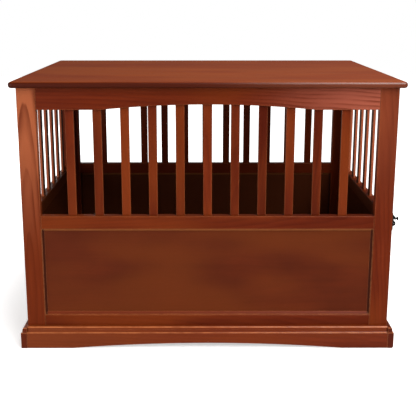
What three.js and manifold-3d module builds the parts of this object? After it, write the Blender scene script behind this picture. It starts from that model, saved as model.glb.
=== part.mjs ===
// Dog crate end table: a slatted and panelled wooden crate under a round-nosed tabletop, on a
// moulded plinth, with the whole right end hung as a door and held by a slide bolt.
// Millimetres, +Z up. The long front faces -Y and the door is at +X. The origin lies on the
// floor under the middle of the tabletop.
import * as THREE from "three";
import { mergeVertices } from "three/addons/utils/BufferGeometryUtils.js";
import Module from "manifold-3d";

// ---- Driving dimensions ----

// Carcass
const bodyLength = 896; // over the outer faces of the two ends, along X
const bodyDepth = 574; // over the outer faces of the front and back frames, along Y
const standingHeight = 665; // floor to tabletop surface
const seatGap = 0.3; // left round everything that is glued, housed or laid on a neighbour
const edgeEase = 1; // chamfer that breaks the edges of every frame board

// Tabletop
const topThickness = 15;
const topOverhang = 15.5; // past the body on all four sides
const topCornerRadius = 10;
const noseDepth = 7; // how far the round nose reaches in over the surface
const noseFlat = 2; // upright flat left in the middle of the nose

// Frame boards, the same stock for the front, back, left end and door
const frameThickness = 20;
const stileWidth = 44;
const topRailHeight = 52.3; // at its ends, beside the arch
const midRailTop = 337.5; // above the floor
const midRailHeight = 32;
const bottomRailTop = 82;
const bottomRailHeight = 60;
const tenonLength = 12;
const tenonThickness = 7;
const tenonShoulder = 8; // edge of a rail down to its tenon

// Arched top rails
const archRise = 12.7;
const longArchStart = 150; // from the stile to the spring of the arch, front and back
const endArchStart = 80; // the same on the left end and the door

// Slats
const slatWidth = 21;
const slatThickness = 7;
const slatHousing = 8; // how deep a slat stands in the mid rail
const slatTopHousing = 10; // how far a slat runs up past the crown of the arch
const longSlatCount = 11; // front and back
const longSlatSetIn = 76.9; // stile to the middle of the first slat, front and back
const endSlatCount = 6; // left end and door, spaced with equal gaps

// Lower panels, each with a sloping strip glued into the corners round its outer face
const panelThickness = 5;
const grooveDepth = 6;
const stripWidth = 6;
const stripNose = 1; // flat front edge of the strip, before its slope down to the panel
const stripSetBack = 1.2; // from the outer face of the frame

// Plinth
const plinthHeight = 55;
const plinthThickness = 15;
const plinthFaceHeight = 39; // flat face below the moulding
const plinthFaceRound = 1.5;
const plinthFootRound = 1; // lower outer edge
const doorPlinthFootRound = 5; // the same edge on the board below the door
const coveOuter = 12.6; // the depths of the moulding are measured out from the body
const coveInner = 9.8;
const coveTop = 47.2;
const beadOuter = 10.6;
const beadBottom = 48;
const beadInner = 6;
const plinthArchRise = 14;
const longFootLength = 108; // from the end of the body to the spring of the plinth's arch
const endFootLength = 110; // from the end of a side board to the spring of its arch

// Floor
const floorHeight = 70; // upper face of the floor panel
const floorThickness = 9;
const floorMargin = 1; // play round the floor panel
const cleatHeight = 18;
const cleatWidth = 18;
const sillDrop = 0.4; // top of the sill rail below the top of the plinth

// Door
const doorSideGap = 2;
const doorFootGap = 2.5; // above the plinth
const doorHeadGap = 2.5; // below the tabletop
const doorBottomRailHeight = 44;
const stopThickness = 14;
const stopReach = 15; // how far the stop strip stands into the doorway
const stopClearance = 0.6; // between the closed door and its stop
const stopFootHeight = 100;
const stopHeadDrop = 60;

// Hinges, two alike
const hingeHeight = 50;
const hingeInset = 82; // from the door's lower and upper edge to the middle of a hinge
const leafReach = 19; // from the pin to the far edge of a leaf
const leafThickness = 1.8;
const knuckleRadius = 3.6;
const pinRadius = 1.6;
const pinHeadRadius = 2.7;
const pinHeadHeight = 1.4;
const knuckleGap = 0.5; // play round and between the knuckles

// Slide bolt: depths are measured back from the front face of the body, and heights from its middle
const latchHeight = 322.5; // above the floor
const latchPlateHeight = 43.5;
const latchPlateThickness = 1.6;
const latchPlateRadius = 4;
const railOuterWidth = 24.4; // over the two rolled lips
const railHeight = 9.9; // from the wood to the top of the lips
const railWall = 1.6;
const railCornerRadius = 4.9;
const slotWidth = 4.4;
const housingLength = 42;
const housingSetBack = 1.5; // from the door's edge
const housingEndWall = 1.5;
const keeperMargin = 1.5; // from both edges of the front frame's end
const keeperRailLength = 9.5;
const keeperStopHeight = 3.4;
const boltClearance = 0.4; // above, below and behind the bolt
const boltSidePlay = 1.8; // each side of it
const boltTipSetBack = 0.6; // the drawn bolt's tip behind the end of its housing
const boltTipEase = 1.2;
const boltCornerRadius = 2.7;
const knobSetBack = 7; // from the bolt's tip to the middle of the knob
const knobNeckRadius = 1.6;
const knobRadius = 4.85;
const knobStart = 16.8; // where the neck starts to flare, from the wood
const knobRim = 20.4;
const knobEnd = 22.6;
const knobRound = 1.1; // how far the rim is rounded in

// Fineness of round work
const cornerSteps = 3;
const archSteps = 10;
const domeSteps = 4;
const roundSides = 20;

// ---- Places worked out from them ----

const halfLength = bodyLength / 2;
const halfDepth = bodyDepth / 2;
const topUnderside = standingHeight - topThickness;
const frameTop = topUnderside - seatGap;
const archCrown = topUnderside - topRailHeight + archRise;
const slatFoot = midRailTop - slatHousing + seatGap;
const slatHead = archCrown + slatTopHousing - seatGap;
const endFrameWidth = bodyDepth - 2 * frameThickness;
const doorWidth = endFrameWidth - 2 * doorSideGap;
const doorFoot = plinthHeight + doorFootGap;
const doorHead = topUnderside - doorHeadGap;

// ---- Solids ----

const wasm = await Module();
wasm.setup();

function solidOf(geometry) {
  const bare = geometry.clone();
  bare.deleteAttribute("normal");
  bare.deleteAttribute("uv");
  const merged = mergeVertices(bare);
  const mesh = new wasm.Mesh({
    numProp: 3,
    vertProperties: new Float32Array(merged.attributes.position.array),
    triVerts: new Uint32Array(merged.index.array),
  });
  return new wasm.Manifold(mesh);
}

function geometryOf(solid) {
  const mesh = solid.getMesh();
  const geometry = new THREE.BufferGeometry();
  geometry.setAttribute("position", new THREE.BufferAttribute(mesh.vertProperties, 3));
  geometry.setIndex(new THREE.BufferAttribute(mesh.triVerts, 1));
  geometry.computeVertexNormals();
  return geometry;
}

function block([x0, x1], [y0, y1], [z0, z1]) {
  const geometry = new THREE.BoxGeometry(x1 - x0, y1 - y0, z1 - z0);
  geometry.translate((x0 + x1) / 2, (y0 + y1) / 2, (z0 + z1) / 2);
  return solidOf(geometry);
}

const unitX = new THREE.Vector3(1, 0, 0);
const unitY = new THREE.Vector3(0, 1, 0);
const unitZ = new THREE.Vector3(0, 0, 1);

// An outline drawn in Y and Z, run along X from start to end.
function runAlongX(outline, [start, end], steps = cornerSteps) {
  const settings = { depth: end - start, bevelEnabled: false, curveSegments: steps };
  const geometry = new THREE.ExtrudeGeometry(outline, settings);
  geometry.applyMatrix4(new THREE.Matrix4().makeBasis(unitY, unitZ, unitX));
  geometry.translate(start, 0, 0);
  return solidOf(geometry);
}

// An outline drawn in X and Z, run along Y from start to end, with its edges eased.
function runAlongY(outline, [start, end], ease = 0, steps = cornerSteps) {
  const settings = {
    depth: end - start - 2 * ease,
    bevelEnabled: ease > 0,
    bevelThickness: ease,
    bevelSize: ease,
    bevelOffset: -ease,
    bevelSegments: 1,
    curveSegments: steps,
  };
  const geometry = new THREE.ExtrudeGeometry(outline, settings);
  const backwards = unitY.clone().negate();
  geometry.applyMatrix4(new THREE.Matrix4().makeBasis(unitX, unitZ, backwards));
  geometry.translate(0, end - ease, 0);
  return solidOf(geometry);
}

// A cylinder about the Z axis of its own group.
function barrel(radius, [z0, z1]) {
  const geometry = new THREE.CylinderGeometry(radius, radius, z1 - z0, roundSides);
  geometry.rotateX(Math.PI / 2);
  geometry.translate(0, 0, (z0 + z1) / 2);
  return solidOf(geometry);
}

function rectangle([x0, x1], [y0, y1]) {
  const outline = new THREE.Shape();
  outline.moveTo(x0, y0);
  outline.lineTo(x1, y0);
  outline.lineTo(x1, y1);
  outline.lineTo(x0, y1);
  return outline;
}

function roundedRectangle([x0, x1], [y0, y1], radius) {
  const outline = new THREE.Shape();
  outline.moveTo(x0 + radius, y0);
  outline.absarc(x1 - radius, y0 + radius, radius, -Math.PI / 2, 0);
  outline.absarc(x1 - radius, y1 - radius, radius, 0, Math.PI / 2);
  outline.absarc(x0 + radius, y1 - radius, radius, Math.PI / 2, Math.PI);
  outline.absarc(x0 + radius, y0 + radius, radius, Math.PI, 1.5 * Math.PI);
  return outline;
}

// A board outline whose lower edge is cut up in a circular arch.
function archedOutline(halfWidth, [low, high], archHalfSpan, rise) {
  const radius = (archHalfSpan ** 2 + rise ** 2) / (2 * rise);
  const spread = Math.asin(archHalfSpan / radius);
  const outline = new THREE.Shape();
  outline.moveTo(halfWidth, low);
  outline.lineTo(halfWidth, high);
  outline.lineTo(-halfWidth, high);
  outline.lineTo(-halfWidth, low);
  outline.absarc(
    0,
    low + rise - radius,
    radius,
    Math.PI / 2 + spread,
    Math.PI / 2 - spread,
    true,
  );
  return outline;
}

// ---- Finishes ----

const cherryStain = { color: 0x7a3018, roughness: 0.42, metalness: 0 };
const panelStain = { color: 0x63281a, roughness: 0.5, metalness: 0 };
const topStain = { color: 0x8c482c, roughness: 0.38, metalness: 0 };
const innerStain = { color: 0x4c2013, roughness: 0.6, metalness: 0 };
const blackSteel = { color: 0x141414, roughness: 0.45, metalness: 0.7 };

function piece(name, solid, finish) {
  const mesh = new THREE.Mesh(geometryOf(solid), new THREE.MeshStandardMaterial(finish));
  mesh.name = name;
  return mesh;
}

// ---- Slatted frames ----
// Each is drawn upright with its outer face at Y = 0, its inner face at frameThickness and its
// middle at X = 0, then turned to its side of the body.

const midPlane = frameThickness / 2;

function acrossThickness(thickness, gap = 0) {
  return [midPlane - thickness / 2 - gap, midPlane + thickness / 2 + gap];
}

function boardIn([x0, x1], [z0, z1]) {
  return runAlongY(rectangle([x0, x1], [z0, z1]), [0, frameThickness], edgeEase);
}

function slatCentres(opening, count, setIn) {
  const first = -opening / 2 + setIn;
  const pitch = (opening - 2 * setIn) / (count - 1);
  return Array.from({ length: count }, (_, i) => first + i * pitch);
}

function equalGapSetIn(opening, count) {
  return (opening - count * slatWidth) / (count + 1) + slatWidth / 2;
}

function slatAt(x) {
  const outline = rectangle([x - slatWidth / 2, x + slatWidth / 2], [slatFoot, slatHead]);
  return runAlongY(outline, acrossThickness(slatThickness), edgeEase);
}

function slatSeat(x, [z0, z1]) {
  const across = [x - slatWidth / 2 - seatGap, x + slatWidth / 2 + seatGap];
  return block(across, acrossThickness(slatThickness, seatGap), [z0, z1]);
}

function tenon(side, opening, [z0, z1], gap = 0) {
  const root = side * (opening / 2 - tenonLength);
  const tip = side * (opening / 2 + tenonLength + gap);
  return block(
    [Math.min(root, tip), Math.max(root, tip)],
    acrossThickness(tenonThickness, gap),
    [z0 + tenonShoulder - gap, z1 - tenonShoulder + gap],
  );
}

function withTenons(rail, opening, span) {
  return rail.add(tenon(-1, opening, span)).add(tenon(1, opening, span));
}

function panelGroove([x0, x1], [z0, z1]) {
  return block([x0, x1], acrossThickness(panelThickness, seatGap), [z0, z1]);
}

// The strip fills the corner between the panel's outer face and the opening it stands in.
function panelStrip([x0, x1], [z0, z1]) {
  const [face] = acrossThickness(panelThickness);
  const slope = stripWidth - stripNose;
  const inside = rectangle(
    [x0 + stripNose, x1 - stripNose],
    [z0 + stripNose, z1 - stripNose],
  );
  const hollow = runAlongY(inside, [-frameThickness, face], slope);
  return block([x0, x1], [stripSetBack, face + panelThickness / 2], [z0, z1]).subtract(hollow);
}

// The pieces of one frame, by name: stiles, rails, panel and a list of slats.
function slattedFrame({ width, foot, head, bottomRail, archStart, slatCount, slatSetIn }) {
  const opening = width - 2 * stileWidth;
  const railEnd = opening / 2 - seatGap;
  const bottomSpan = bottomRail;
  const midSpan = [midRailTop - midRailHeight, midRailTop];
  const topSpan = [topUnderside - topRailHeight, head];
  const setIn = slatSetIn ?? equalGapSetIn(opening, slatCount);
  const centres = slatCentres(opening, slatCount, setIn);
  const grooveEnd = opening / 2 + grooveDepth;
  const grooveSpan = [bottomSpan[1] - grooveDepth, midSpan[0] + grooveDepth];

  const stile = (side) => {
    const edges = [side * (opening / 2), side * (width / 2)].sort((a, b) => a - b);
    let solid = boardIn(edges, [foot, head]);
    for (const span of [bottomSpan, midSpan, topSpan]) {
      solid = solid.subtract(tenon(side, opening, span, seatGap));
    }
    const groove = [side * (opening / 2 - grooveDepth), side * grooveEnd].sort((a, b) => a - b);
    return solid.subtract(panelGroove(groove, grooveSpan));
  };

  let bottom = boardIn([-railEnd, railEnd], bottomSpan);
  bottom = bottom.subtract(
    panelGroove([-grooveEnd, grooveEnd], [grooveSpan[0], bottomSpan[1] + grooveDepth]),
  );
  bottom = withTenons(bottom, opening, bottomSpan);

  let middle = boardIn([-railEnd, railEnd], midSpan);
  middle = middle.subtract(
    panelGroove([-grooveEnd, grooveEnd], [midSpan[0] - grooveDepth, grooveSpan[1]]),
  );
  middle = withTenons(middle, opening, midSpan);

  const archHalfSpan = opening / 2 - archStart;
  const arched = archedOutline(railEnd, topSpan, archHalfSpan, archRise);
  let top = runAlongY(arched, [0, frameThickness], edgeEase, archSteps);
  top = withTenons(top, opening, topSpan);
  for (const x of centres) {
    top = top.subtract(slatSeat(x, [topSpan[0] - archRise, slatHead + seatGap]));
  }

  const panelEnd = grooveEnd - seatGap;
  const panelSpan = [grooveSpan[0] + seatGap, grooveSpan[1] - seatGap];
  const stripSpan = [bottomSpan[1] + seatGap, midSpan[0] - seatGap];
  const panel = block([-panelEnd, panelEnd], acrossThickness(panelThickness), panelSpan)
    .add(panelStrip([-railEnd, railEnd], stripSpan));

  return {
    stiles: [stile(-1), stile(1)],
    top,
    middle,
    bottom,
    panel,
    slats: centres.map(slatAt),
    centres,
  };
}

// The mid rail with a seat cut for every slat.
function seatedMidRail(frame) {
  return frame.centres.reduce(
    (rail, x) => rail.subtract(slatSeat(x, [slatFoot - seatGap, midRailTop + slatHousing])),
    frame.middle,
  );
}

// The mid rail with its slats glued in for good.
function combedMidRail(frame) {
  return frame.slats.reduce((rail, slat) => rail.add(slat), frame.middle);
}

function frameGroup(name, frame, stileNames, slatsLoose) {
  const group = new THREE.Group();
  frame.stiles.forEach((stile, i) => {
    group.add(piece(`${name}_stile_${stileNames[i]}`, stile, cherryStain));
  });
  group.add(piece(`${name}_top_rail`, frame.top, cherryStain));
  group.add(piece(`${name}_bottom_rail`, frame.bottom, cherryStain));
  group.add(piece(`${name}_panel`, frame.panel, panelStain));
  const middle = slatsLoose ? seatedMidRail(frame) : combedMidRail(frame);
  group.add(piece(`${name}_mid_rail`, middle, cherryStain));
  if (slatsLoose) {
    frame.slats.forEach((slat, i) => {
      group.add(piece(`${name}_slat_${i + 1}`, slat, cherryStain));
    });
  }
  return group;
}

const fixedBottomRail = [bottomRailTop - bottomRailHeight, bottomRailTop];

function longFrame() {
  return slattedFrame({
    width: bodyLength,
    foot: 0,
    head: frameTop,
    bottomRail: fixedBottomRail,
    archStart: longArchStart,
    slatCount: longSlatCount,
    slatSetIn: longSlatSetIn,
  });
}

function frontFrame() {
  const group = frameGroup("front", longFrame(), ["left", "right"], true);
  group.position.y = -halfDepth;
  return group;
}

function backFrame() {
  const group = frameGroup("back", longFrame(), ["right", "left"], false);
  group.position.y = halfDepth;
  group.rotation.z = Math.PI;
  return group;
}

function leftFrame() {
  const frame = slattedFrame({
    width: endFrameWidth - 2 * seatGap,
    foot: 0,
    head: frameTop,
    bottomRail: fixedBottomRail,
    archStart: endArchStart,
    slatCount: endSlatCount,
  });
  const group = frameGroup("left", frame, ["back", "front"], false);
  group.position.x = -halfLength;
  group.rotation.z = -Math.PI / 2;
  return group;
}

function door() {
  const frame = slattedFrame({
    width: doorWidth,
    foot: doorFoot,
    head: doorHead,
    bottomRail: [doorFoot, doorFoot + doorBottomRailHeight],
    archStart: endArchStart,
    slatCount: endSlatCount,
  });
  const group = frameGroup("door", frame, ["latch", "hinge"], true);
  group.position.x = halfLength;
  group.rotation.z = Math.PI / 2;
  return group;
}

// ---- Plinth ----
// The moulding is drawn with the body's face at Y = 0 and the outside at negative Y.

function plinthSection(footRound) {
  const section = new THREE.Shape();
  section.moveTo(-seatGap, 0);
  section.lineTo(-seatGap, plinthHeight);
  section.lineTo(-beadInner, plinthHeight);
  section.absellipse(
    -beadInner,
    beadBottom,
    beadOuter - beadInner,
    plinthHeight - beadBottom,
    Math.PI / 2,
    Math.PI,
    false,
  );
  section.lineTo(-coveInner, coveTop);
  section.absellipse(
    -coveOuter,
    coveTop,
    coveOuter - coveInner,
    coveTop - plinthFaceHeight - plinthFaceRound,
    0,
    -Math.PI / 2,
    true,
  );
  section.absarc(
    -plinthThickness + plinthFaceRound,
    plinthFaceHeight,
    plinthFaceRound,
    Math.PI / 2,
    Math.PI,
    false,
  );
  section.absarc(
    -plinthThickness + footRound,
    footRound,
    footRound,
    Math.PI,
    1.5 * Math.PI,
    false,
  );
  return section;
}

function plinthBoard(boardHalfLength, footLength, footRound = plinthFootRound) {
  const moulding = runAlongX(plinthSection(footRound), [-boardHalfLength, boardHalfLength]);
  const outline = archedOutline(
    boardHalfLength,
    [0, plinthHeight],
    boardHalfLength - footLength,
    plinthArchRise,
  );
  return moulding.intersect(runAlongY(outline, [-plinthThickness, 0], 0, archSteps));
}

function plinth() {
  const group = new THREE.Group();
  const longBoard = plinthBoard(halfLength - seatGap, longFootLength);
  const endHalfLength = halfDepth + plinthThickness;
  const endBoard = plinthBoard(endHalfLength, endFootLength);
  const doorBoard = plinthBoard(endHalfLength, endFootLength, doorPlinthFootRound);
  const sides = [
    ["plinth_front", longBoard, 0, -halfDepth, 0],
    ["plinth_back", longBoard, 0, halfDepth, Math.PI],
    ["plinth_left", endBoard, -halfLength, 0, -Math.PI / 2],
    ["plinth_right", doorBoard, halfLength, 0, Math.PI / 2],
  ];
  for (const [name, board, x, y, turn] of sides) {
    const mesh = piece(name, board, cherryStain);
    mesh.position.set(x, y, 0);
    mesh.rotation.z = turn;
    group.add(mesh);
  }
  return group;
}

// ---- Tabletop ----

function tabletop() {
  const halfX = halfLength + topOverhang;
  const halfY = halfDepth + topOverhang;
  const outline = roundedRectangle([-halfX, halfX], [-halfY, halfY], topCornerRadius);
  const noseHeight = (topThickness - noseFlat) / 2;
  const geometry = new THREE.ExtrudeGeometry(outline, {
    depth: noseFlat,
    bevelThickness: noseHeight,
    bevelSize: noseDepth,
    bevelOffset: -noseDepth,
    bevelSegments: 2 * cornerSteps,
    curveSegments: cornerSteps,
  });
  const mesh = piece("table_top", solidOf(geometry), topStain);
  mesh.position.z = topUnderside + noseHeight;
  return mesh;
}

// ---- Floor ----

function floorPieces() {
  const group = new THREE.Group();
  const innerX = halfLength - frameThickness;
  const innerY = halfDepth - frameThickness;
  const floorUnderside = floorHeight - floorThickness;
  const panelY = innerY - floorMargin;
  const panel = block(
    [-innerX + floorMargin, innerX - floorMargin],
    [-panelY, panelY],
    [floorUnderside, floorHeight],
  );
  group.add(piece("floor_panel", panel, innerStain));

  const cleatEnd = innerX - floorMargin;
  const cleatOutline = rectangle(
    [-cleatEnd, cleatEnd],
    [floorUnderside - seatGap - cleatHeight, floorUnderside - seatGap],
  );
  const frontCleat = [-innerY + seatGap, -innerY + seatGap + cleatWidth];
  const backCleat = [innerY - seatGap - cleatWidth, innerY - seatGap];
  const cleats = { floor_cleat_front: frontCleat, floor_cleat_back: backCleat };
  for (const [name, span] of Object.entries(cleats)) {
    group.add(piece(name, runAlongY(cleatOutline, span, edgeEase), innerStain));
  }

  const sill = block(
    [innerX, halfLength],
    [-innerY + seatGap, innerY - seatGap],
    [bottomRailTop - bottomRailHeight, plinthHeight - sillDrop],
  );
  group.add(piece("sill_rail", sill, innerStain));

  const stopBack = innerX - stopClearance;
  const stop = block(
    [stopBack - stopThickness, stopBack],
    [-innerY + seatGap, -innerY + stopReach],
    [stopFootHeight, topUnderside - stopHeadDrop],
  );
  group.add(piece("door_stop", stop, innerStain));
  return group;
}

// ---- Hinges ----
// Drawn about the pin's axis with the wood at negative X; the frame leaf reaches to +Y.

const pinToWood = knuckleRadius + seatGap;
const hingeAxisX = halfLength + pinToWood;
const hingeAxisY = halfDepth - frameThickness - doorSideGap / 2;
const thirdOfHinge = hingeHeight / 3;
const hingeFoot = -hingeHeight / 2;
const knuckleSpans = {
  frame: [
    [hingeFoot, hingeFoot + thirdOfHinge - knuckleGap / 2],
    [-hingeFoot - thirdOfHinge + knuckleGap / 2, -hingeFoot],
  ],
  door: [[hingeFoot + thirdOfHinge + knuckleGap / 2, -hingeFoot - thirdOfHinge - knuckleGap / 2]],
};

function hingeLeaf(own, other, side) {
  const flat = [-knuckleRadius, -knuckleRadius + leafThickness];
  const reach = [0, side * leafReach].sort((a, b) => a - b);
  let leaf = block(flat, reach, [hingeFoot, -hingeFoot]);
  for (const [z0, z1] of knuckleSpans[other]) {
    leaf = leaf.subtract(barrel(knuckleRadius + knuckleGap, [z0 - knuckleGap, z1 + knuckleGap]));
  }
  for (const span of knuckleSpans[own]) {
    leaf = leaf.add(barrel(knuckleRadius, span));
  }
  return leaf.subtract(barrel(pinRadius + seatGap, [-hingeHeight, hingeHeight]));
}

function hingePin() {
  const shoulder = hingeHeight / 2 + knuckleGap;
  const outline = [];
  for (let i = 0; i <= domeSteps; i += 1) {
    const angle = (i / domeSteps) * (Math.PI / 2);
    const height = shoulder + pinHeadHeight * Math.cos(angle);
    outline.push(new THREE.Vector2(pinHeadRadius * Math.sin(angle), height));
  }
  outline.push(new THREE.Vector2(pinRadius, shoulder));
  const lower = outline.map((point) => new THREE.Vector2(point.x, -point.y));
  const upper = outline.reverse();
  const geometry = new THREE.LatheGeometry([...lower, ...upper], roundSides);
  geometry.rotateX(Math.PI / 2);
  return solidOf(geometry);
}

function hinge(name, height) {
  const group = new THREE.Group();
  group.position.set(hingeAxisX, hingeAxisY, height);
  group.add(piece(`hinge_frame_leaf_${name}`, hingeLeaf("frame", "door", 1), blackSteel));
  group.add(piece(`hinge_door_leaf_${name}`, hingeLeaf("door", "frame", -1), blackSteel));
  group.add(piece(`hinge_pin_${name}`, hingePin(), blackSteel));
  return group;
}

// ---- Slide bolt ----
// Drawn with X out from the wood, Y back from the front face of the body and Z from its middle.

const doorEdge = frameThickness + doorSideGap;
const housingSpan = [doorEdge + housingSetBack, doorEdge + housingSetBack + housingLength];
const keeperSpan = [keeperMargin, frameThickness - keeperMargin];
const keeperRailSpan = [keeperSpan[1] - keeperRailLength, keeperSpan[1]];
const channelHalf = railOuterWidth / 2 - railWall;
const channelTop = railHeight - railWall;

// The section of the guide: a base with two lips rolled in over a channel, and a slot between.
function guideSection() {
  const outerHalf = railOuterWidth / 2;
  const lipEdge = slotWidth / 2;
  const outerBend = railHeight - railCornerRadius;
  const innerRadius = railCornerRadius - railWall;
  const section = new THREE.Shape();
  section.moveTo(0, outerHalf);
  section.lineTo(0, -outerHalf);
  section.absarc(
    outerBend,
    -outerHalf + railCornerRadius,
    railCornerRadius,
    -Math.PI / 2,
    0,
  );
  section.absarc(channelTop, -lipEdge - railWall, railWall, 0, Math.PI / 2);
  section.absarc(
    outerBend,
    -channelHalf + innerRadius,
    innerRadius,
    0,
    -Math.PI / 2,
    true,
  );
  section.lineTo(latchPlateThickness, -channelHalf);
  section.lineTo(latchPlateThickness, channelHalf);
  section.absarc(
    outerBend,
    channelHalf - innerRadius,
    innerRadius,
    Math.PI / 2,
    0,
    true,
  );
  section.absarc(channelTop, lipEdge + railWall, railWall, -Math.PI / 2, 0);
  section.absarc(
    outerBend,
    outerHalf - railCornerRadius,
    railCornerRadius,
    0,
    Math.PI / 2,
  );
  return section;
}

function latchPlate(span) {
  const half = latchPlateHeight / 2;
  const outline = roundedRectangle(span, [-half, half], latchPlateRadius);
  return runAlongX(outline, [0, latchPlateThickness]);
}

function latchHousing() {
  const channel = [-channelHalf - railWall / 2, channelHalf + railWall / 2];
  const endWall = block(
    [latchPlateThickness / 2, channelTop + railWall / 2],
    [housingSpan[1] - housingEndWall, housingSpan[1]],
    channel,
  );
  const rounded = runAlongY(
    roundedRectangle([0, railHeight], [-channelHalf, channelHalf], railWall),
    [housingSpan[1] - housingEndWall, housingSpan[1]],
  );
  return latchPlate(housingSpan)
    .add(runAlongY(guideSection(), housingSpan))
    .add(endWall.intersect(rounded));
}

function latchKeeper() {
  const stop = block(
    [latchPlateThickness / 2, latchPlateThickness + keeperStopHeight],
    [keeperRailSpan[0], keeperRailSpan[0] + railWall],
    [-channelHalf - railWall / 2, channelHalf + railWall / 2],
  );
  return latchPlate(keeperSpan)
    .add(runAlongY(guideSection(), keeperRailSpan))
    .add(stop);
}

function latchBolt() {
  const under = latchPlateThickness + boltClearance;
  const over = channelTop - boltClearance;
  const half = channelHalf - boltSidePlay;
  const tip = housingSpan[0] + boltTipSetBack;
  const tail = housingSpan[1] - housingEndWall - boltClearance;
  const section = roundedRectangle([under, over], [-half, half], boltCornerRadius);
  const bar = runAlongY(section, [tip, tail], boltTipEase);
  const profile = [
    [0, (under + over) / 2],
    [knobNeckRadius, (under + over) / 2],
    [knobNeckRadius, knobStart],
    [knobRadius - knobRound, knobRim - knobRound],
    [knobRadius, knobRim],
    [knobRadius - knobRound, knobEnd - knobRound / 2],
    [0, knobEnd],
  ].map(([radius, out]) => new THREE.Vector2(radius, out));
  const knob = new THREE.LatheGeometry(profile, roundSides);
  knob.rotateZ(-Math.PI / 2);
  knob.translate(0, tip + knobSetBack, 0);
  return bar.add(solidOf(knob));
}

function latch() {
  const group = new THREE.Group();
  group.position.set(halfLength + seatGap, -halfDepth, latchHeight);
  group.add(piece("latch_housing", latchHousing(), blackSteel));
  group.add(piece("latch_bolt", latchBolt(), blackSteel));
  group.add(piece("latch_keeper", latchKeeper(), blackSteel));
  return group;
}

// ---- The whole table ----

const crate = new THREE.Group();
crate.add(tabletop());
crate.add(frontFrame());
crate.add(backFrame());
crate.add(leftFrame());
crate.add(door());
crate.add(plinth());
crate.add(floorPieces());
crate.add(hinge("lower", doorFoot + hingeInset));
crate.add(hinge("upper", doorHead - hingeInset));
crate.add(latch());

export default crate;
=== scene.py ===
import bpy
import bmesh
import math
from mathutils import Matrix, Vector


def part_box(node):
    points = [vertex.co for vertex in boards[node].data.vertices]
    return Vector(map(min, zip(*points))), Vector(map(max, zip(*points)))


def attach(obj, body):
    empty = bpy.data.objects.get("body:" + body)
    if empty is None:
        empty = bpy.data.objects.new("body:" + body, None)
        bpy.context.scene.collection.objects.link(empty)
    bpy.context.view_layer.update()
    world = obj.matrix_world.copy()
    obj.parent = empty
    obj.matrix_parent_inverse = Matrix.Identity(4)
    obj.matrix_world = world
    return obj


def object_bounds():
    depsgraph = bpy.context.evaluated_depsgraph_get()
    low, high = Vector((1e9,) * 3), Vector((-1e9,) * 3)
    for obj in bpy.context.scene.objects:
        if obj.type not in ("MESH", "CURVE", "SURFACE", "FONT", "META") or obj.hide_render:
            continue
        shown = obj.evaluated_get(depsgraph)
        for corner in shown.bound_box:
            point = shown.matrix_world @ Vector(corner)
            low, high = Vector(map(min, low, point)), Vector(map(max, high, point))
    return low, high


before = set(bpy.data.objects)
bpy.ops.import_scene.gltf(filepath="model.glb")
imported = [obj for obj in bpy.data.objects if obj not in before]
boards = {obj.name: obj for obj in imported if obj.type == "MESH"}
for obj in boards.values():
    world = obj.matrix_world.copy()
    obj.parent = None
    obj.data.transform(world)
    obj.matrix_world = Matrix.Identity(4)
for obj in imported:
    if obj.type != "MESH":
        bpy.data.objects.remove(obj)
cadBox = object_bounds()
print("crate table loaded,", len(boards), "pieces")


def stain(red, green, blue):
    # a colour picked on screen, 0 to 255, with the screen's curve taken off for the shader
    linear = []
    for level in (red, green, blue):
        share = level / 255
        linear.append(share / 12.92 if share <= 0.04045 else ((share + 0.055) / 1.055) ** 2.4)
    return (*linear, 1)


def ramp(share, start, end):
    # start where the share is 0, end where it is 1
    return share * (end - start) + start


class Term:
    # a socket that sums can be written with
    def __init__(self, finish, socket):
        self.finish = finish
        self.socket = socket

    def __add__(self, other):
        return self.finish.sum("ADD", self, other)

    def __radd__(self, other):
        return self.finish.sum("ADD", other, self)

    def __sub__(self, other):
        return self.finish.sum("SUBTRACT", self, other)

    def __rsub__(self, other):
        return self.finish.sum("SUBTRACT", other, self)

    def __mul__(self, other):
        return self.finish.sum("MULTIPLY", self, other)

    def __rmul__(self, other):
        return self.finish.sum("MULTIPLY", other, self)

    def __truediv__(self, other):
        return self.finish.sum("DIVIDE", self, other)

    def __rtruediv__(self, other):
        return self.finish.sum("DIVIDE", other, self)

    def __gt__(self, other):
        return self.finish.sum("GREATER_THAN", self, other)

    def __abs__(self):
        return self.finish.sum("ABSOLUTE", self)


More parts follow.
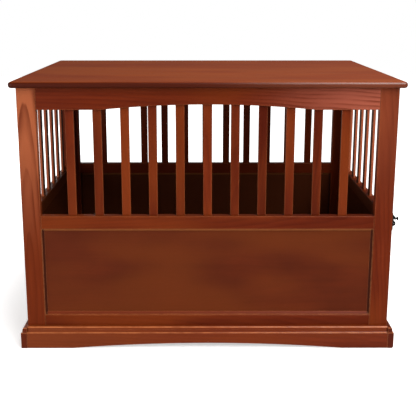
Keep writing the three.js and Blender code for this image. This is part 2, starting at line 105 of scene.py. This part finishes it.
class Finish:
    # the nodes of a material or a world
    def __init__(self, owner):
        self.owner = owner
        owner.use_nodes = True
        self.tree = owner.node_tree
        self.tree.nodes.clear()

    def node(self, kind, settings=None, sockets=None, give=0):
        made = self.tree.nodes.new("ShaderNode" + kind)
        for name, value in (settings or {}).items():
            setattr(made, name, value)
        for name, value in (sockets or {}).items():
            if isinstance(value, Term):
                self.tree.links.new(value.socket, made.inputs[name])
            else:
                made.inputs[name].default_value = value
        if give is None:
            return made
        if isinstance(give, tuple):
            return tuple(Term(self, made.outputs[one]) for one in give)
        return Term(self, made.outputs[give])

    def sum(self, operation, first, second=0.0):
        return self.node("Math", {"operation": operation}, {0: first, 1: second})

    def clamp(self, value, low=0.0, high=1.0):
        return self.node("Clamp", None, {0: value, 1: low, 2: high})

    def between(self, value, low, high):
        # 0 below low, 1 above high, eased
        return self.node("MapRange", {"interpolation_type": "SMOOTHSTEP"},
                         {"Value": value, "From Min": low, "From Max": high})

    def mix(self, share, first, second):
        return self.node("Mix", {"data_type": "RGBA"}, {0: share, 6: first, 7: second}, give=2)

    def noise(self, place, scale=1.0, detail=2.0, roughness=0.5):
        if isinstance(scale, tuple):
            place = self.node("VectorMath", {"operation": "MULTIPLY"}, {0: place, 1: scale})
            scale = 1.0
        return self.node("TexNoise", None, {"Vector": place, "Scale": scale, "Detail": detail,
                                            "Roughness": roughness})

    def axes(self, source="Object"):
        return self.node("SeparateXYZ", None, {0: self.node("TexCoord", give=source)},
                         give=(0, 1, 2))

    def arrisTurn(self, radius, spread, samples=6):
        # how far the surface turns within the radius of an arris
        rounded = self.node("Bevel", {"samples": samples}, {"Radius": radius})
        flat = self.node("NewGeometry", give="Normal")
        turn = self.node("VectorMath", {"operation": "DOT_PRODUCT"}, {0: rounded, 1: flat},
                         give="Value")
        return self.clamp((1 - turn) * spread), rounded

    def close(self, sockets):
        shader = self.node("BsdfPrincipled", None, sockets)
        self.node("OutputMaterial", None, {"Surface": shader}, give=None)
        return self.owner


halfway = 0.5  # noises and shades swing about this

# Stained and lacquered hardwood. Streaks and growth rings run along the board, no two boards are
# cut from the same place, and the arrises are lightened, partly rubbed through the stain and
# partly a painted highlight. Noises are scaled along the board, across it and through it. A
# range says where a layer starts and where it is full.
timber = {"order": {"x": "xzy", "y": "yzx", "z": "zxy"},  # along, across and through the board
          "step": 0.618,  # the golden share gives each board a number of its own, 0 to 1
          "apart": (9, 3, 5),  # and that number times these its place in the wood
          "streak": {"scale": (2.4, 62, 62), "detail": 5, "roughness": 0.62},
          "fibre": {"scale": (16, 520, 520)},
          "wander": {"scale": (2.2, 5, 5)},
          "mottle": {"detail": 3, "roughness": 0.55},
          "pores": {"scale": (85, 1500, 1500), "detail": 1},
          "poreRange": (0.6, 0.72),
          "poreStain": 0.22,
          "gold": {"scale": (3, 9, 9), "detail": 1},
          "goldRange": (0.4, 0.68),
          "patches": {"scale": 45, "detail": 3},
          "patchRange": (0.3, 0.62),
          "patchLeast": 0.5,  # how much of the arris marks is left between the patches
          "arrisSpread": 3.2,
          "ringRise": (0.3, 0.92),  # a ring darkens slowly and stops short
          "ringFall": (0.92, 1.0),
          "ringMottle": (0.3, 0.6),  # rings show where the mottle is strong
          "ringWaver": 0.003,
          "ringLift": 0.3,  # the shade gets back what the rings take
          "paleLeast": 0.7,  # how much of the pale tint shows, and what a streak adds
          "paleStreak": 0.6,
          "firstCoatShare": 0.8,
          "stripSoft": 0.0003,
          "narrowRange": (0.5, 0.9),  # how squarely a narrow face or an end must face its way
          "endRange": (0.8, 0.97),
          "roughStreak": 0.16,
          "roughFibre": 0.1,
          "roughPores": 0.1,
          "roughLimits": (0.12, 0.9),
          "raisedStreak": 0.5,
          "raisedFibre": 0.3,
          "sunkPores": 0.6,
          "sunkRing": 0.2,
          "reliefDepth": 0.0004}


def growthRings(wood, look, grain, here, streak, mottle):
    # rings of a tapering trunk whose heart lies a little behind the board
    along, across, deep = grain
    wander = wood.noise(here, **timber["wander"])
    sideways = across + (wander - halfway) * look["ringWander"] + look["aside"]
    inwards = deep + along * look["taper"] + look["heart"]
    radius = wood.sum("SQRT", sideways * sideways + inwards * inwards)
    radius = radius + (streak - halfway) * timber["ringWaver"]
    turn = wood.sum("FRACT", radius / look["ringSpacing"])
    ring = wood.between(turn, *timber["ringRise"]) - wood.between(turn, *timber["ringFall"])
    return ring * wood.between(mottle, *timber["ringMottle"])


def stripBand(wood, look, distance, reach):
    # 1 on a strip that ends this far from the panel's middle
    start = reach - look["strip"]
    return wood.between(distance, start - timber["stripSoft"], start + timber["stripSoft"])


def panelStrips(wood, look, colour, place, along, low, high):
    # the strips round a panel take the frame's colour; the upright ones are darkened, a painted
    # shade, and the upper one lightened, a painted light
    middle = (low + high) / 2
    reach = (high - low) / 2
    lying = stripBand(wood, look, abs(place["z"] - middle.z), reach.z)
    upright = stripBand(wood, look, abs(along), reach["xyz".index(look["grain"])])
    for band, (tint, share) in ((lying, look["stripUnder"]),
                                (lying * (place["z"] > middle.z), look["stripOverLight"]),
                                (upright, look["stripUprightShade"])):
        colour = wood.mix(band * share, colour, tint)
    return colour


def stainedWood(name, look, own, low, high):
    wood = Finish(bpy.data.materials.new(name))
    place = dict(zip("xyz", wood.axes()))
    middle = dict(zip("xyz", (low + high) / 2))
    along, across, deep = (place[axis] - middle[axis] for axis in timber["order"][look["grain"]])
    if "slatsAbove" in look:  # upright slats glued into the same rail
        up = place["z"] > look["slatsAbove"]
        along, across = along * (1 - up) + across * up, across * (1 - up) + along * up
    grain = (along, across, deep)
    here = wood.node("CombineXYZ", None, {index: grain[index] + own * apart
                                          for index, apart in enumerate(timber["apart"])})
    streak = wood.noise(here, **timber["streak"])
    fibre = wood.noise(here, **timber["fibre"])
    mottle = wood.noise(here, look["mottleScale"], **timber["mottle"])
    pores = wood.between(wood.noise(here, **timber["pores"]), *timber["poreRange"])
    ring = growthRings(wood, look, grain, here, streak, mottle)

    shade = (mottle - halfway) * look["mottle"] + (streak - halfway) * look["streak"]
    shade = shade - ring * look["ring"] + (look["tone"] + look["ring"] * timber["ringLift"]
                                           + halfway)
    colour = wood.mix(wood.clamp(shade), look["dark"], look["light"])
    gold = wood.between(wood.noise(here, **timber["gold"]), *timber["goldRange"])
    colour = wood.mix(gold * look["goldShare"], colour, look["gold"])
    colour = wood.mix(pores * timber["poreStain"], colour, look["dark"])
    if "fade" in look:  # paler towards one end, so that the figure shows; on the tabletop, the top rail and the left stile a painted sheen where the lamps fall
        axis, start, end, share = look["fade"]
        paleTint = wood.between(place[axis], start, end)
        figured = wood.clamp(streak * timber["paleStreak"] + timber["paleLeast"]
                             - ring * look["figure"])
        colour = wood.mix(paleTint * figured * share, colour, look["paleTint"])
    if "inside" in look:  # the face towards the cabin is darkened, a painted shade for the dim cabin
        axis, depth = look["inside"]
        inner = 1 - (abs(place[axis]) > depth)
        colour = wood.mix(inner * timber["firstCoatShare"], colour, look["firstCoat"])
    if "strip" in look:
        colour = panelStrips(wood, look, colour, place, along, low, high)
    if "nose" in look:  # the round edge takes the stain darkest; its darkening, partly a painted shade, eases towards its right end
        turned = 1 - wood.between(wood.axes("Normal")[2], *look["noseTurn"])
        rightwards = wood.between(place["x"], *look["nose"])
        colour = wood.mix(turned * ramp(rightwards, *look["noseStainShadeShares"]), colour,
                          look["noseStainShade"])
    if "litNarrowFaces" in look:  # narrow faces lightened, a painted light where the lamps catch them
        narrow = wood.between(abs(wood.axes("Normal")[1]), *timber["narrowRange"])
        if "slatsAbove" in look:
            narrow = narrow * up
        colour = wood.mix(narrow * look["litNarrowFaces"], colour, look["paleTint"])
    if "slatsAbove" not in look:  # end grain drinks more stain
        facing = abs(wood.axes("Normal")["xyz".index(look["grain"])])
        colour = wood.mix(wood.between(facing, *timber["endRange"]) * look["endGrain"], colour,
                          look["dark"])

    # the arrises are lightened, partly rubbed through the stain and partly a painted highlight
    arrisMark, rounded = wood.arrisTurn(look["edge"], timber["arrisSpread"])
    for height, width in look.get("rubAndHighlightLines", ()):  # along the edges of a moulding, rubbed bare and carrying a painted highlight
        line = 1 - wood.between(abs(place["z"] - height), width / 2, width)
        arrisMark = wood.sum("MAXIMUM", arrisMark, line)
    patchy = wood.between(wood.noise(here, **timber["patches"]), *timber["patchRange"])
    colour = wood.mix(arrisMark * ramp(patchy, timber["patchLeast"], 1) * look["rubbedAndHighlit"], colour,
                      look["bare"])

    rough = (look["rough"] + (streak - halfway) * timber["roughStreak"]
             + (fibre - halfway) * timber["roughFibre"] + pores * timber["roughPores"])
    raised = (streak * timber["raisedStreak"] + fibre * timber["raisedFibre"]
              - pores * timber["sunkPores"] - ring * timber["sunkRing"])
    relief = wood.node("Bump", None, {"Strength": look["relief"], "Height": raised,
                                      "Distance": timber["reliefDepth"], "Normal": rounded})
    lacquer = look["lacquer"]
    if "nose" in look:  # the nose shines, most at its right end
        lacquer = turned * ramp(rightwards, *look["noseLacquer"]) + lacquer
    return wood.close({"Base Color": colour, "Normal": relief,
                       "Roughness": wood.clamp(rough, *timber["roughLimits"]),
                       "Specular IOR Level": look["gloss"], "Coat Weight": lacquer,
                       "Coat Roughness": look["lacquerRough"]})


# what the boards share, each look then says only what differs
# the bare colour is partly rubbed wood and partly a painted highlight
cherry = {"light": stain(116, 42, 14), "dark": stain(72, 19, 5), "bare": stain(206, 124, 74),
          # the pale tint is partly a painted sheen
          "paleTint": stain(172, 92, 62), "gold": stain(122, 52, 13), "goldShare": 0.45,
          # the inside colour is a painted shade for the dim cabin
          "firstCoat": stain(80, 38, 17), "streak": 0.85, "ring": 0.2, "ringSpacing": 0.0075,
          "ringWander": 0.03, "ringAside": 0.09, "heart": 0.045, "taper": 0.07, "figure": 0.35,
          "mottle": 0.85, "mottleScale": (5, 16, 16), "tone": 0, "spread": 0.25, "edge": 0.0018,
          "rubbedAndHighlit": 0.9, "rough": 0.33, "relief": 0.3, "endGrain": 0.6, "gloss": 0.07,
          "lacquer": 0.03, "lacquerRough": 0.22}

# Boards that stand out from their neighbours. A fade has its axis, where it starts, where it is
# full and how strong it is there. On the left stile, the top rail and the tabletop it is a
# painted sheen.
oddBoards = {"front_stile_left": {"tone": -0.15, "fade": ("z", 0.2, 0.6, 0.65), "heart": 0.022,
                                  "paleTint": stain(176, 97, 60), "goldShare": 0.2,
                                  "mottleScale": (4, 14, 14), "ringSpacing": 0.011,
                                  "aside": 0.004, "figure": 0.8},
             "front_top_rail": {"tone": -0.15, "fade": ("x", 0.05, 0.44, 0.66), "figure": 0.8,
                                "paleTint": stain(170, 92, 72), "heart": 0.15, "aside": 0.1,
                                "ringSpacing": 0.0052, "ringWander": 0.05, "taper": 0.04},
             "front_mid_rail": {"tone": -0.22},
             "front_bottom_rail": {"tone": -0.2},
             "front_stile_right": {"tone": -0.1, "fade": ("z", 0.3, 0.64, 0.24)},
             "plinth_front": {"fade": ("x", 0.1, -0.45, 0.2), "paleTint": stain(160, 86, 36)},
             "table_top": {"fade": ("x", -0.4, 0.5, 0.22)}}


def named(*starts):
    return [name for name in boards if name.startswith(starts)]


def coat(mesh, finish):
    mesh.materials.clear()
    mesh.materials.append(finish)


def dress(look):
    for name in look["boards"]:
        own = (sorted(boards).index(name) * timber["step"]) % 1
        tone = look["tone"] + (own - halfway) * look["spread"]
        board = {**look, "tone": tone, "aside": (own - halfway) * look["ringAside"],
                 **oddBoards.get(name, {})}
        low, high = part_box(name)
        coat(boards[name].data,
             stainedWood(name + " " + look["finish"], board, own, low, high))
    print(look["finish"], "on", len(look["boards"]), "boards")


tabletop = {**cherry, "finish": "tabletop wood", "boards": ["table_top"], "grain": "x",
            "light": stain(148, 64, 24), "dark": stain(104, 37, 11), "gold": stain(152, 74, 26),
            "ringSpacing": 0.014, "ringWander": 0.1, "heart": 0.12, "edge": 0.001,
            "rubbedAndHighlit": 0.2, "gloss": 0.05, "lacquerRough": 0.28,
            # the nose's dark colour and its easing to the right are partly a painted shade
            "noseStainShade": stain(60, 17, 7), "noseTurn": (0.75, 0.97),
            "nose": (-0.1, 0.44),  # the stretch over which the next two go from first to second
            "noseStainShadeShares": (0.95, 0.6), "noseLacquer": (0.12, 0.97)}
dress(tabletop)

stiles = {**cherry, "finish": "stile wood", "grain": "z",
          "boards": [name for name in boards if "_stile_" in name]}
dress(stiles)

slats = {**cherry, "finish": "slat wood", "grain": "z", "spread": 0.6, "tone": -0.15,
         "boards": named("front_slat_")}
dress(slats)

endSlats = {**slats, "litNarrowFaces": 0.85, "tone": 0, "inside": ("x", 0.4351),
            "boards": named("door_slat_")}
dress(endSlats)

longRails = {**cherry, "finish": "rail wood", "grain": "x",
             "boards": ["front_top_rail", "front_mid_rail", "front_bottom_rail",
                        "back_top_rail", "back_bottom_rail"]}
dress(longRails)

endRails = {**longRails, "grain": "y", "inside": ("x", 0.4286),
            "boards": ["left_top_rail", "left_bottom_rail", "door_top_rail", "door_mid_rail",
                       "door_bottom_rail"]}
dress(endRails)

backComb = {**longRails, "finish": "rail and slat wood", "slatsAbove": 0.3376,
            "boards": ["back_mid_rail"]}
dress(backComb)

leftComb = {**endRails, "finish": "rail and slat wood", "slatsAbove": 0.3376,
            "litNarrowFaces": 0.85, "inside": ("x", 0.4351), "boards": ["left_mid_rail"]}
dress(leftComb)

longPanels = {**cherry, "finish": "veneer", "grain": "x", "light": stain(98, 37, 13),
              "dark": stain(60, 20, 7), "gold": stain(102, 45, 13), "goldShare": 0.6,
              "streak": 0.4, "ring": 0.06, "mottleScale": (7, 11, 11), "rough": 0.46,
              "relief": 0.2, "inside": ("y", 0.277), "boards": ["front_panel", "back_panel"],
              "strip": 0.012,  # the strips' width, then their colours and how much of each shows
              # the upper strip's colour is a painted light, the upright strips' colour a painted
              # shade
              "stripOverLight": (stain(132, 76, 38), 0.8), "stripUnder": (stain(104, 38, 18), 0.7),
              "stripUprightShade": (stain(56, 22, 12), 0.85)}
dress(longPanels)

endPanels = {**longPanels, "grain": "y", "inside": ("x", 0.438),
             "boards": ["left_panel", "door_panel"]}
dress(endPanels)

longPlinth = {**cherry, "finish": "plinth wood", "grain": "x", "rubbedAndHighlit": 0.62, "tone": -0.05,
              "rubAndHighlightLines": ((0.0404, 0.0007), (0.0534, 0.0013)), "lacquer": 0.4,
              "boards": ["plinth_front", "plinth_back"]}
dress(longPlinth)

endPlinth = {**longPlinth, "grain": "y", "boards": ["plinth_left", "plinth_right"]}
dress(endPlinth)

# The boards inside the cabin are given dark colours, a painted shade for the dim cabin.
innerLong = {**cherry, "finish": "shaded inner board wood", "grain": "x", "light": stain(72, 32, 18),
             "dark": stain(44, 19, 11), "gold": stain(70, 34, 16), "lacquer": 0.0,
             "rough": 0.62, "rubbedAndHighlit": 0.2,
             "boards": ["floor_panel", "floor_cleat_front", "floor_cleat_back"]}
dress(innerLong)

innerCross = {**innerLong, "grain": "y", "boards": ["sill_rail"]}
dress(innerCross)

innerUpright = {**innerLong, "grain": "z", "boards": ["door_stop"]}
dress(innerUpright)


# Black powder coat: a fine orange peel, duller dust in patches, steel showing at the rims.
powderCoat = {"black": stain(22, 22, 23), "dust": stain(46, 44, 42),
              "steel": stain(120, 118, 114), "dustShare": 0.5, "steelShare": 0.5,
              "peel": {"scale": 900}, "relief": 0.4, "reliefDepth": 0.0001,
              "dusty": {"scale": 160, "detail": 4, "roughness": 0.6}, "dustRange": (0.45, 0.75),
              "patches": {"scale": 380, "detail": 3}, "patchRange": (0.5, 0.7),
              "edge": 0.0005, "arrisSpread": 2.4, "rough": 0.4, "dustRough": 0.15,
              "steelRough": 0.1, "metal": (0.1, 0.9)}


def blackSteel(name, look):
    steel = Finish(bpy.data.materials.new(name))
    place = steel.node("TexCoord", give="Object")
    peel = steel.noise(place, **look["peel"])
    dust = steel.between(steel.noise(place, **look["dusty"]), *look["dustRange"])
    arrisMark, rounded = steel.arrisTurn(look["edge"], look["arrisSpread"])
    worn = arrisMark * steel.between(steel.noise(place, **look["patches"]), *look["patchRange"])
    colour = steel.mix(dust * look["dustShare"], look["black"], look["dust"])
    colour = steel.mix(worn * look["steelShare"], colour, look["steel"])
    relief = steel.node("Bump", None, {"Strength": look["relief"], "Height": peel,
                                       "Distance": look["reliefDepth"], "Normal": rounded})
    rough = look["rough"] + dust * look["dustRough"] - worn * look["steelRough"]
    return steel.close({"Base Color": colour, "Roughness": rough, "Normal": relief,
                        "Metallic": steel.clamp(ramp(worn, *look["metal"]))})


hardwareFinish = blackSteel("black powder coat", powderCoat)
hardware = named("hinge_", "latch_")
for name in hardware:
    coat(boards[name].data, hardwareFinish)
print("black powder coat on", len(hardware), "fittings")


# Wood screws with low domed heads and a cross recess, in the hinge leaves and latch plates.
# The profile gives shares of the radius and of the dome's height.
screw = {"radius": 0.0032, "dome": 0.0006, "sides": 32,
         "profile": ((0.97, -0.5), (1.0, 0.1), (0.94, 0.45), (0.78, 0.78), (0.5, 1.0)),
         "recess": 0.0021, "slot": 0.00075, "depth": 0.0005, "taper": 0.8, "cutter": 0.002,
         "turn": 1.1}


def meshOf(name, form):
    mesh = bpy.data.meshes.new(name)
    form.to_mesh(mesh)
    form.free()
    return mesh


def screwDome():
    form = bmesh.new()
    rings = []
    for share, lift in screw["profile"]:
        ring = []
        for side in range(screw["sides"]):
            angle = 2 * math.pi * side / screw["sides"]
            ring.append(form.verts.new((screw["radius"] * share * math.cos(angle),
                                        screw["radius"] * share * math.sin(angle),
                                        screw["dome"] * lift)))
        rings.append(ring)
    for lower, upper in zip(rings, rings[1:]):
        for side in range(screw["sides"]):
            after = (side + 1) % screw["sides"]
            form.faces.new((lower[side], lower[after], upper[after], upper[side]))
    form.faces.new(rings[-1])
    form.faces.new(list(reversed(rings[0])))
    return meshOf("screw_dome", form)


def screwCross():
    arm, half = screw["recess"], screw["slot"] / 2
    outline = [(half, half), (half, arm), (-half, arm), (-half, half), (-arm, half),
               (-arm, -half), (-half, -half), (-half, -arm), (half, -arm), (half, -half),
               (arm, -half), (arm, half)]
    form = bmesh.new()
    low = screw["dome"] - screw["depth"]
    taper = screw["taper"]
    bottom = [form.verts.new((x * taper, y * taper, low)) for x, y in outline]
    lid = [form.verts.new((x, y, low + screw["cutter"])) for x, y in outline]
    form.faces.new(list(reversed(bottom)))
    form.faces.new(lid)
    for side in range(len(outline)):
        after = (side + 1) % len(outline)
        form.faces.new((bottom[side], bottom[after], lid[after], lid[side]))
    bmesh.ops.recalc_face_normals(form, faces=form.faces)
    return meshOf("screw_cross", form)


def screwHead():
    blank = bpy.data.objects.new("screw_blank", screwDome())
    cross = bpy.data.objects.new("screw_cross", screwCross())
    for part in (blank, cross):
        bpy.context.scene.collection.objects.link(part)
    cut = blank.modifiers.new("cross", "BOOLEAN")
    cut.operation = "DIFFERENCE"
    cut.object = cross
    bpy.context.view_layer.update()
    head = bpy.data.meshes.new_from_object(blank.evaluated_get(
        bpy.context.evaluated_depsgraph_get()))
    bpy.data.objects.remove(blank)
    bpy.data.objects.remove(cross)
    head.name = "screw_head"
    coat(head, hardwareFinish)
    return head


def drive(name, mesh, place, turn, body):
    # a screw driven into the face towards +X, its cross left at any turn
    head = bpy.data.objects.new(name, mesh)
    bpy.context.scene.collection.objects.link(head)
    head.matrix_world = (Matrix.Translation(place) @ Matrix.Rotation(math.pi / 2, 4, "Y")
                         @ Matrix.Rotation(turn, 4, "Z"))
    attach(head, body)


# plate thickness, the screws' distance from its edge and from each other or its middle
hingeFit = {"leaf": 0.0018, "inset": 0.0065, "pitch": 0.0165}
latchFit = {"plate": 0.0016, "inset": 0.0075, "spread": 0.017}


def driveScrews():
    mesh = screwHead()
    count = 0
    for name in sorted(named("hinge_frame_leaf", "hinge_door_leaf", "latch_housing",
                             "latch_keeper")):
        low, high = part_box(name)
        middle = (low + high) / 2
        body = "crate" if name.startswith(("hinge_frame", "latch_keeper")) else "door"
        if name.startswith("hinge"):
            face = low.x + hingeFit["leaf"]
            y = high.y - hingeFit["inset"] if body == "crate" else low.y + hingeFit["inset"]
            spots = [(y, middle.z + step * hingeFit["pitch"]) for step in (-1, 0, 1)]
        else:
            face = low.x + latchFit["plate"]
            ends = ([low.y + latchFit["inset"], high.y - latchFit["inset"]]
                    if body == "door" else [middle.y])
            spots = [(y, middle.z + step * latchFit["spread"]) for y in ends
                     for step in (-1, 1)]
        for y, z in spots:
            drive("screw_" + name + "_" + str(count), mesh, Vector((face, y, z)),
                  count * screw["turn"], body)
            count += 1
    print("drove", count, "screws")


driveScrews()


# Camera: the photograph is corrected for upright lines. The render tips the camera a little
# instead, so that the other views stay in the frame.
camera = {"place": (-0.0189, -1.8713, 0.8454), "tip": 11.31, "turn": -0.07, "lens": 59.19,
          "shiftX": 0.0179, "shiftY": -0.166}


def setCamera():
    viewfinder = bpy.data.cameras.new("viewfinder")
    viewfinder.lens = camera["lens"]
    viewfinder.shift_x = camera["shiftX"]
    viewfinder.shift_y = camera["shiftY"]
    tripod = bpy.data.objects.new("tripod", viewfinder)
    tripod.location = camera["place"]
    tripod.rotation_euler = (math.radians(90 - camera["tip"]), 0, math.radians(camera["turn"]))
    bpy.context.scene.collection.objects.link(tripod)
    bpy.context.scene.camera = tripod
    print("camera placed")


setCamera()


# Room: a pale floor that keeps the shadow, white all round for the camera. The lacquer mirrors
# a dimmer room, so that no pale veil lies on the wood.
room = {"floorHalf": 6.0, "floorDrop": 0.0004, "floorRough": 0.9, "pale": stain(238, 237, 235),
        "dim": stain(110, 108, 105), "white": (1, 1, 1, 1), "unlit": (0, 0, 0, 1),
        "ambient": 0.34, "mirrored": 0.1,
        "lift": 0.5, "farLift": 0.5, "fades": 0.3,  # the floor's glow, near and far
        "underRange": (0.03, 0.09)}  # this far in below the crate it ends


def paleFloor():
    form = bmesh.new()
    half = room["floorHalf"]
    corners = [form.verts.new((x, y, 0)) for x, y in ((-half, -half), (half, -half),
                                                      (half, half), (-half, half))]
    form.faces.new(corners)
    floor = bpy.data.objects.new("studio_floor", meshOf("studio_floor", form))
    floor.location.z = -room["floorDrop"]
    bpy.context.scene.collection.objects.link(floor)
    paint = Finish(bpy.data.materials.new("pale floor"))
    seen, mirrored = paint.node("LightPath", give=("Is Camera Ray", "Is Glossy Ray"))
    x, y = paint.axes()[:2]
    beside = paint.sum("MAXIMUM", abs(x) - cadBox[1][0])
    before = paint.sum("MAXIMUM", abs(y) - cadBox[1][1])
    far = paint.between(paint.sum("SQRT", beside * beside + before * before), 0,
                        room["fades"])
    inset = paint.sum("MINIMUM", cadBox[1][0] - abs(x), cadBox[1][1] - abs(y))
    under = paint.between(inset, *room["underRange"])
    glow = seen * (far * room["farLift"] + (1 - under) * room["lift"])
    floor.data.materials.append(paint.close({
        "Base Color": paint.mix(mirrored, room["pale"], room["dim"]),
        "Roughness": room["floorRough"],
        "Emission Color": paint.mix(glow, room["unlit"], room["white"]),
        "Emission Strength": 1.0}))


def whiteRoom():
    bpy.context.scene.world = bpy.data.worlds.new("white room")
    sky = Finish(bpy.context.scene.world)
    seen, through, mirror = sky.node(
        "LightPath", give=("Is Camera Ray", "Is Transmission Ray", "Is Glossy Ray"))
    dimness = ramp(mirror, room["ambient"], room["mirrored"])
    soft = sky.node("Background", None, {"Color": room["white"], "Strength": dimness})
    plain = sky.node("Background", None, {"Color": room["white"], "Strength": 1.0})
    both = sky.node("MixShader", None, {0: sky.sum("MAXIMUM", seen, through), 1: soft,
                                        2: plain})
    sky.node("OutputWorld", None, {"Surface": both}, give=None)


# Soft boxes: two in front, one above, and a weak one behind that lies lower than the tabletop.
lamps = {"right_softbox": {"place": (1.4, -2.1, 2.5), "aim": (0.2, -0.1, 0.45),
                           "size": (2.0, 2.0), "watts": 88},
         "left_softbox": {"place": (-2.4, -2.6, 0.7), "aim": (-0.1, 0, 0.35),
                          "size": (1.8, 1.4), "watts": 44},
         "top_softbox": {"place": (0.9, -0.5, 3.0), "aim": (0.2, 0, 0.6), "size": (1.5, 1.8),
                         "watts": 34},
         "back_softbox": {"place": (-1.6, 2.5, 0.4), "aim": (-0.1, 0.2, 0.38),
                          "size": (1.8, 0.4), "watts": 17}}


def softbox(name, look):
    light = bpy.data.lights.new(name, "AREA")
    light.shape = "RECTANGLE"
    light.size, light.size_y = look["size"]
    light.energy = look["watts"]
    lamp = bpy.data.objects.new(name, light)
    lamp.location = look["place"]
    aim = Vector(look["aim"]) - Vector(look["place"])
    lamp.rotation_euler = aim.to_track_quat("-Z", "Y").to_euler()
    bpy.context.scene.collection.objects.link(lamp)


paleFloor()
whiteRoom()
for name, look in lamps.items():
    softbox(name, look)
print("lights and floor set")

bpy.context.scene.view_settings.view_transform = "Standard"
